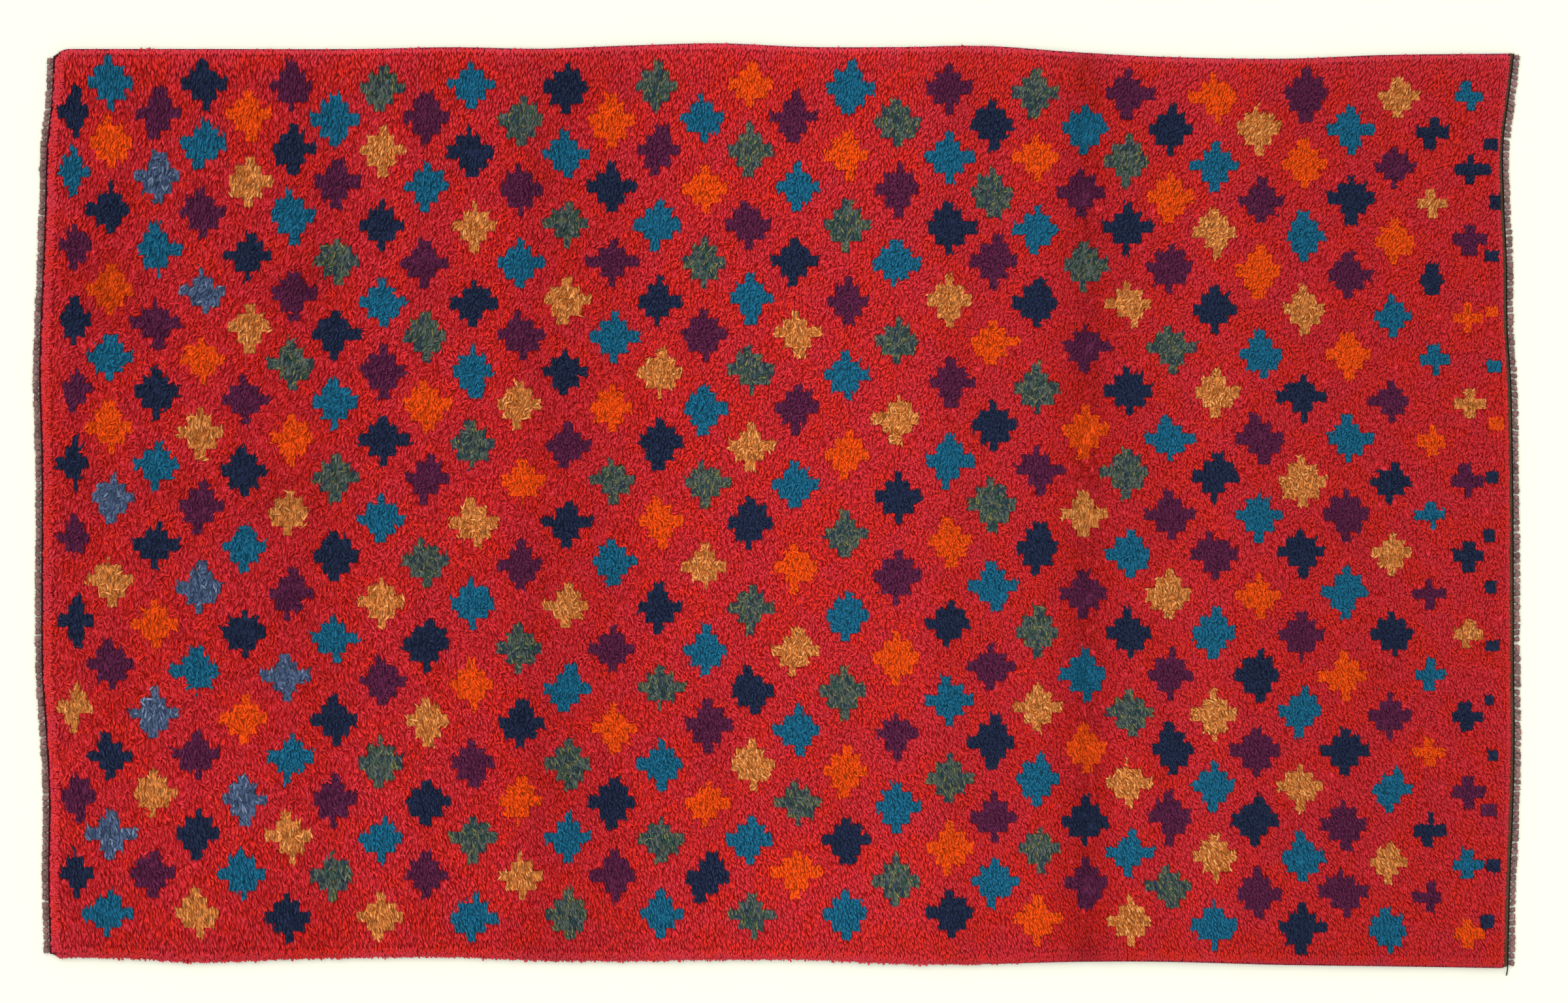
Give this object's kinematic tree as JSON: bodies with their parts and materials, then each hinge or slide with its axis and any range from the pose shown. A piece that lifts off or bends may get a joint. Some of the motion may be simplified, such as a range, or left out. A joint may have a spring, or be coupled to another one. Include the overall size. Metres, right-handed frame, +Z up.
{
  "type": "gabbeh rug",
  "caption": "Hand-knotted wool pile rug lying flat, with wool-bound side cords, flat-woven end strips, a twined line on each strip and short knotted warp ends.",
  "frame": {"origin": "on the floor, under the middle of the whole rug", "axes": "+X along the warps, away from the end that the pile leans over; +Y across the rug, from the near to the far side; +Z up from the floor"},
  "size_m": [1.9042, 1.1922, 0.0137],
  "materials": {
    "pile": "matt wool pile",
    "edge_wool": "matt overcast wool",
    "warp_yarn": "matt twisted yarn",
    "dark_thread": "matt twisted thread"
  },
  "bodies": {
    "root": {"rug_body": "pile", "selvedge_near": "edge_wool", "selvedge_far": "edge_wool", "warp_ends_left": "warp_yarn", "warp_ends_right": "warp_yarn", "twining_left": "dark_thread", "twining_right": "dark_thread"}
  },
  "joints": []
}
